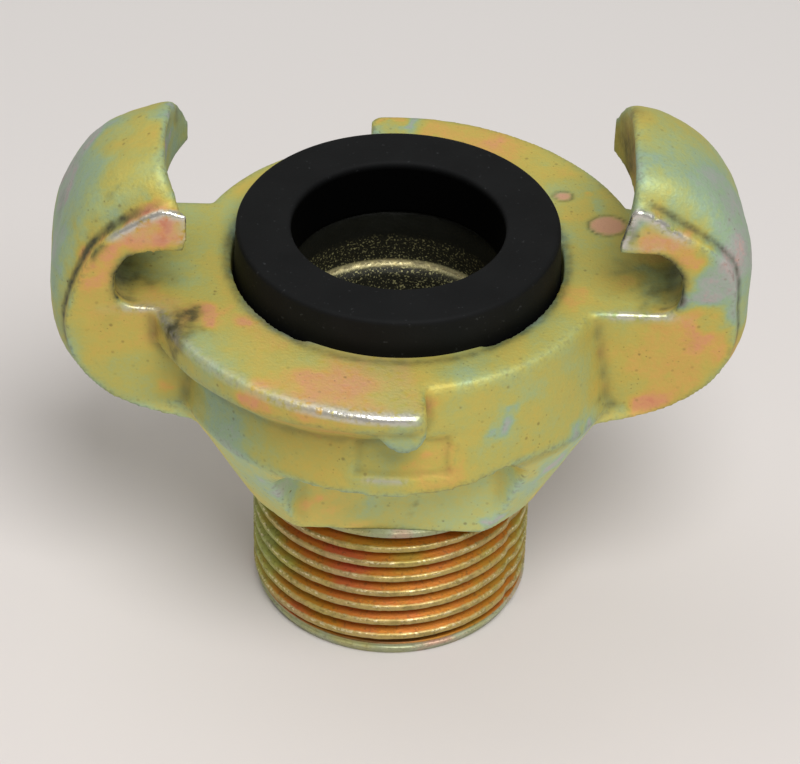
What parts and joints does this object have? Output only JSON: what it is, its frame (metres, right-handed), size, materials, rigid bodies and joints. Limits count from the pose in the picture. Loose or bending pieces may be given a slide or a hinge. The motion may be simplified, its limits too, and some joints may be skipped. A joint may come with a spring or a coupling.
{
  "type": "air hose coupling",
  "caption": "Claw coupling half for compressed air hose: cup head with hooked claws and ramp rims round a rubber sealing ring, wrench flats and a male pipe thread with a through bore.",
  "frame": {"origin": "on the thread's axis at the thread's end face, which the part stands on", "axes": "+Z along the thread's axis towards the sealing ring, +X and -X towards the claws, -Y the side seen in the picture"},
  "size_m": [0.0631, 0.0464, 0.0508],
  "materials": {
    "yellow_chromated_zinc": "malleable iron casting, zinc plated and yellow chromated, iridescent, satin",
    "nitrile_rubber": "matte black moulded rubber"
  },
  "bodies": {
    "root": {"coupling_body": "yellow_chromated_zinc", "sealing_ring": "nitrile_rubber"}
  },
  "joints": []
}
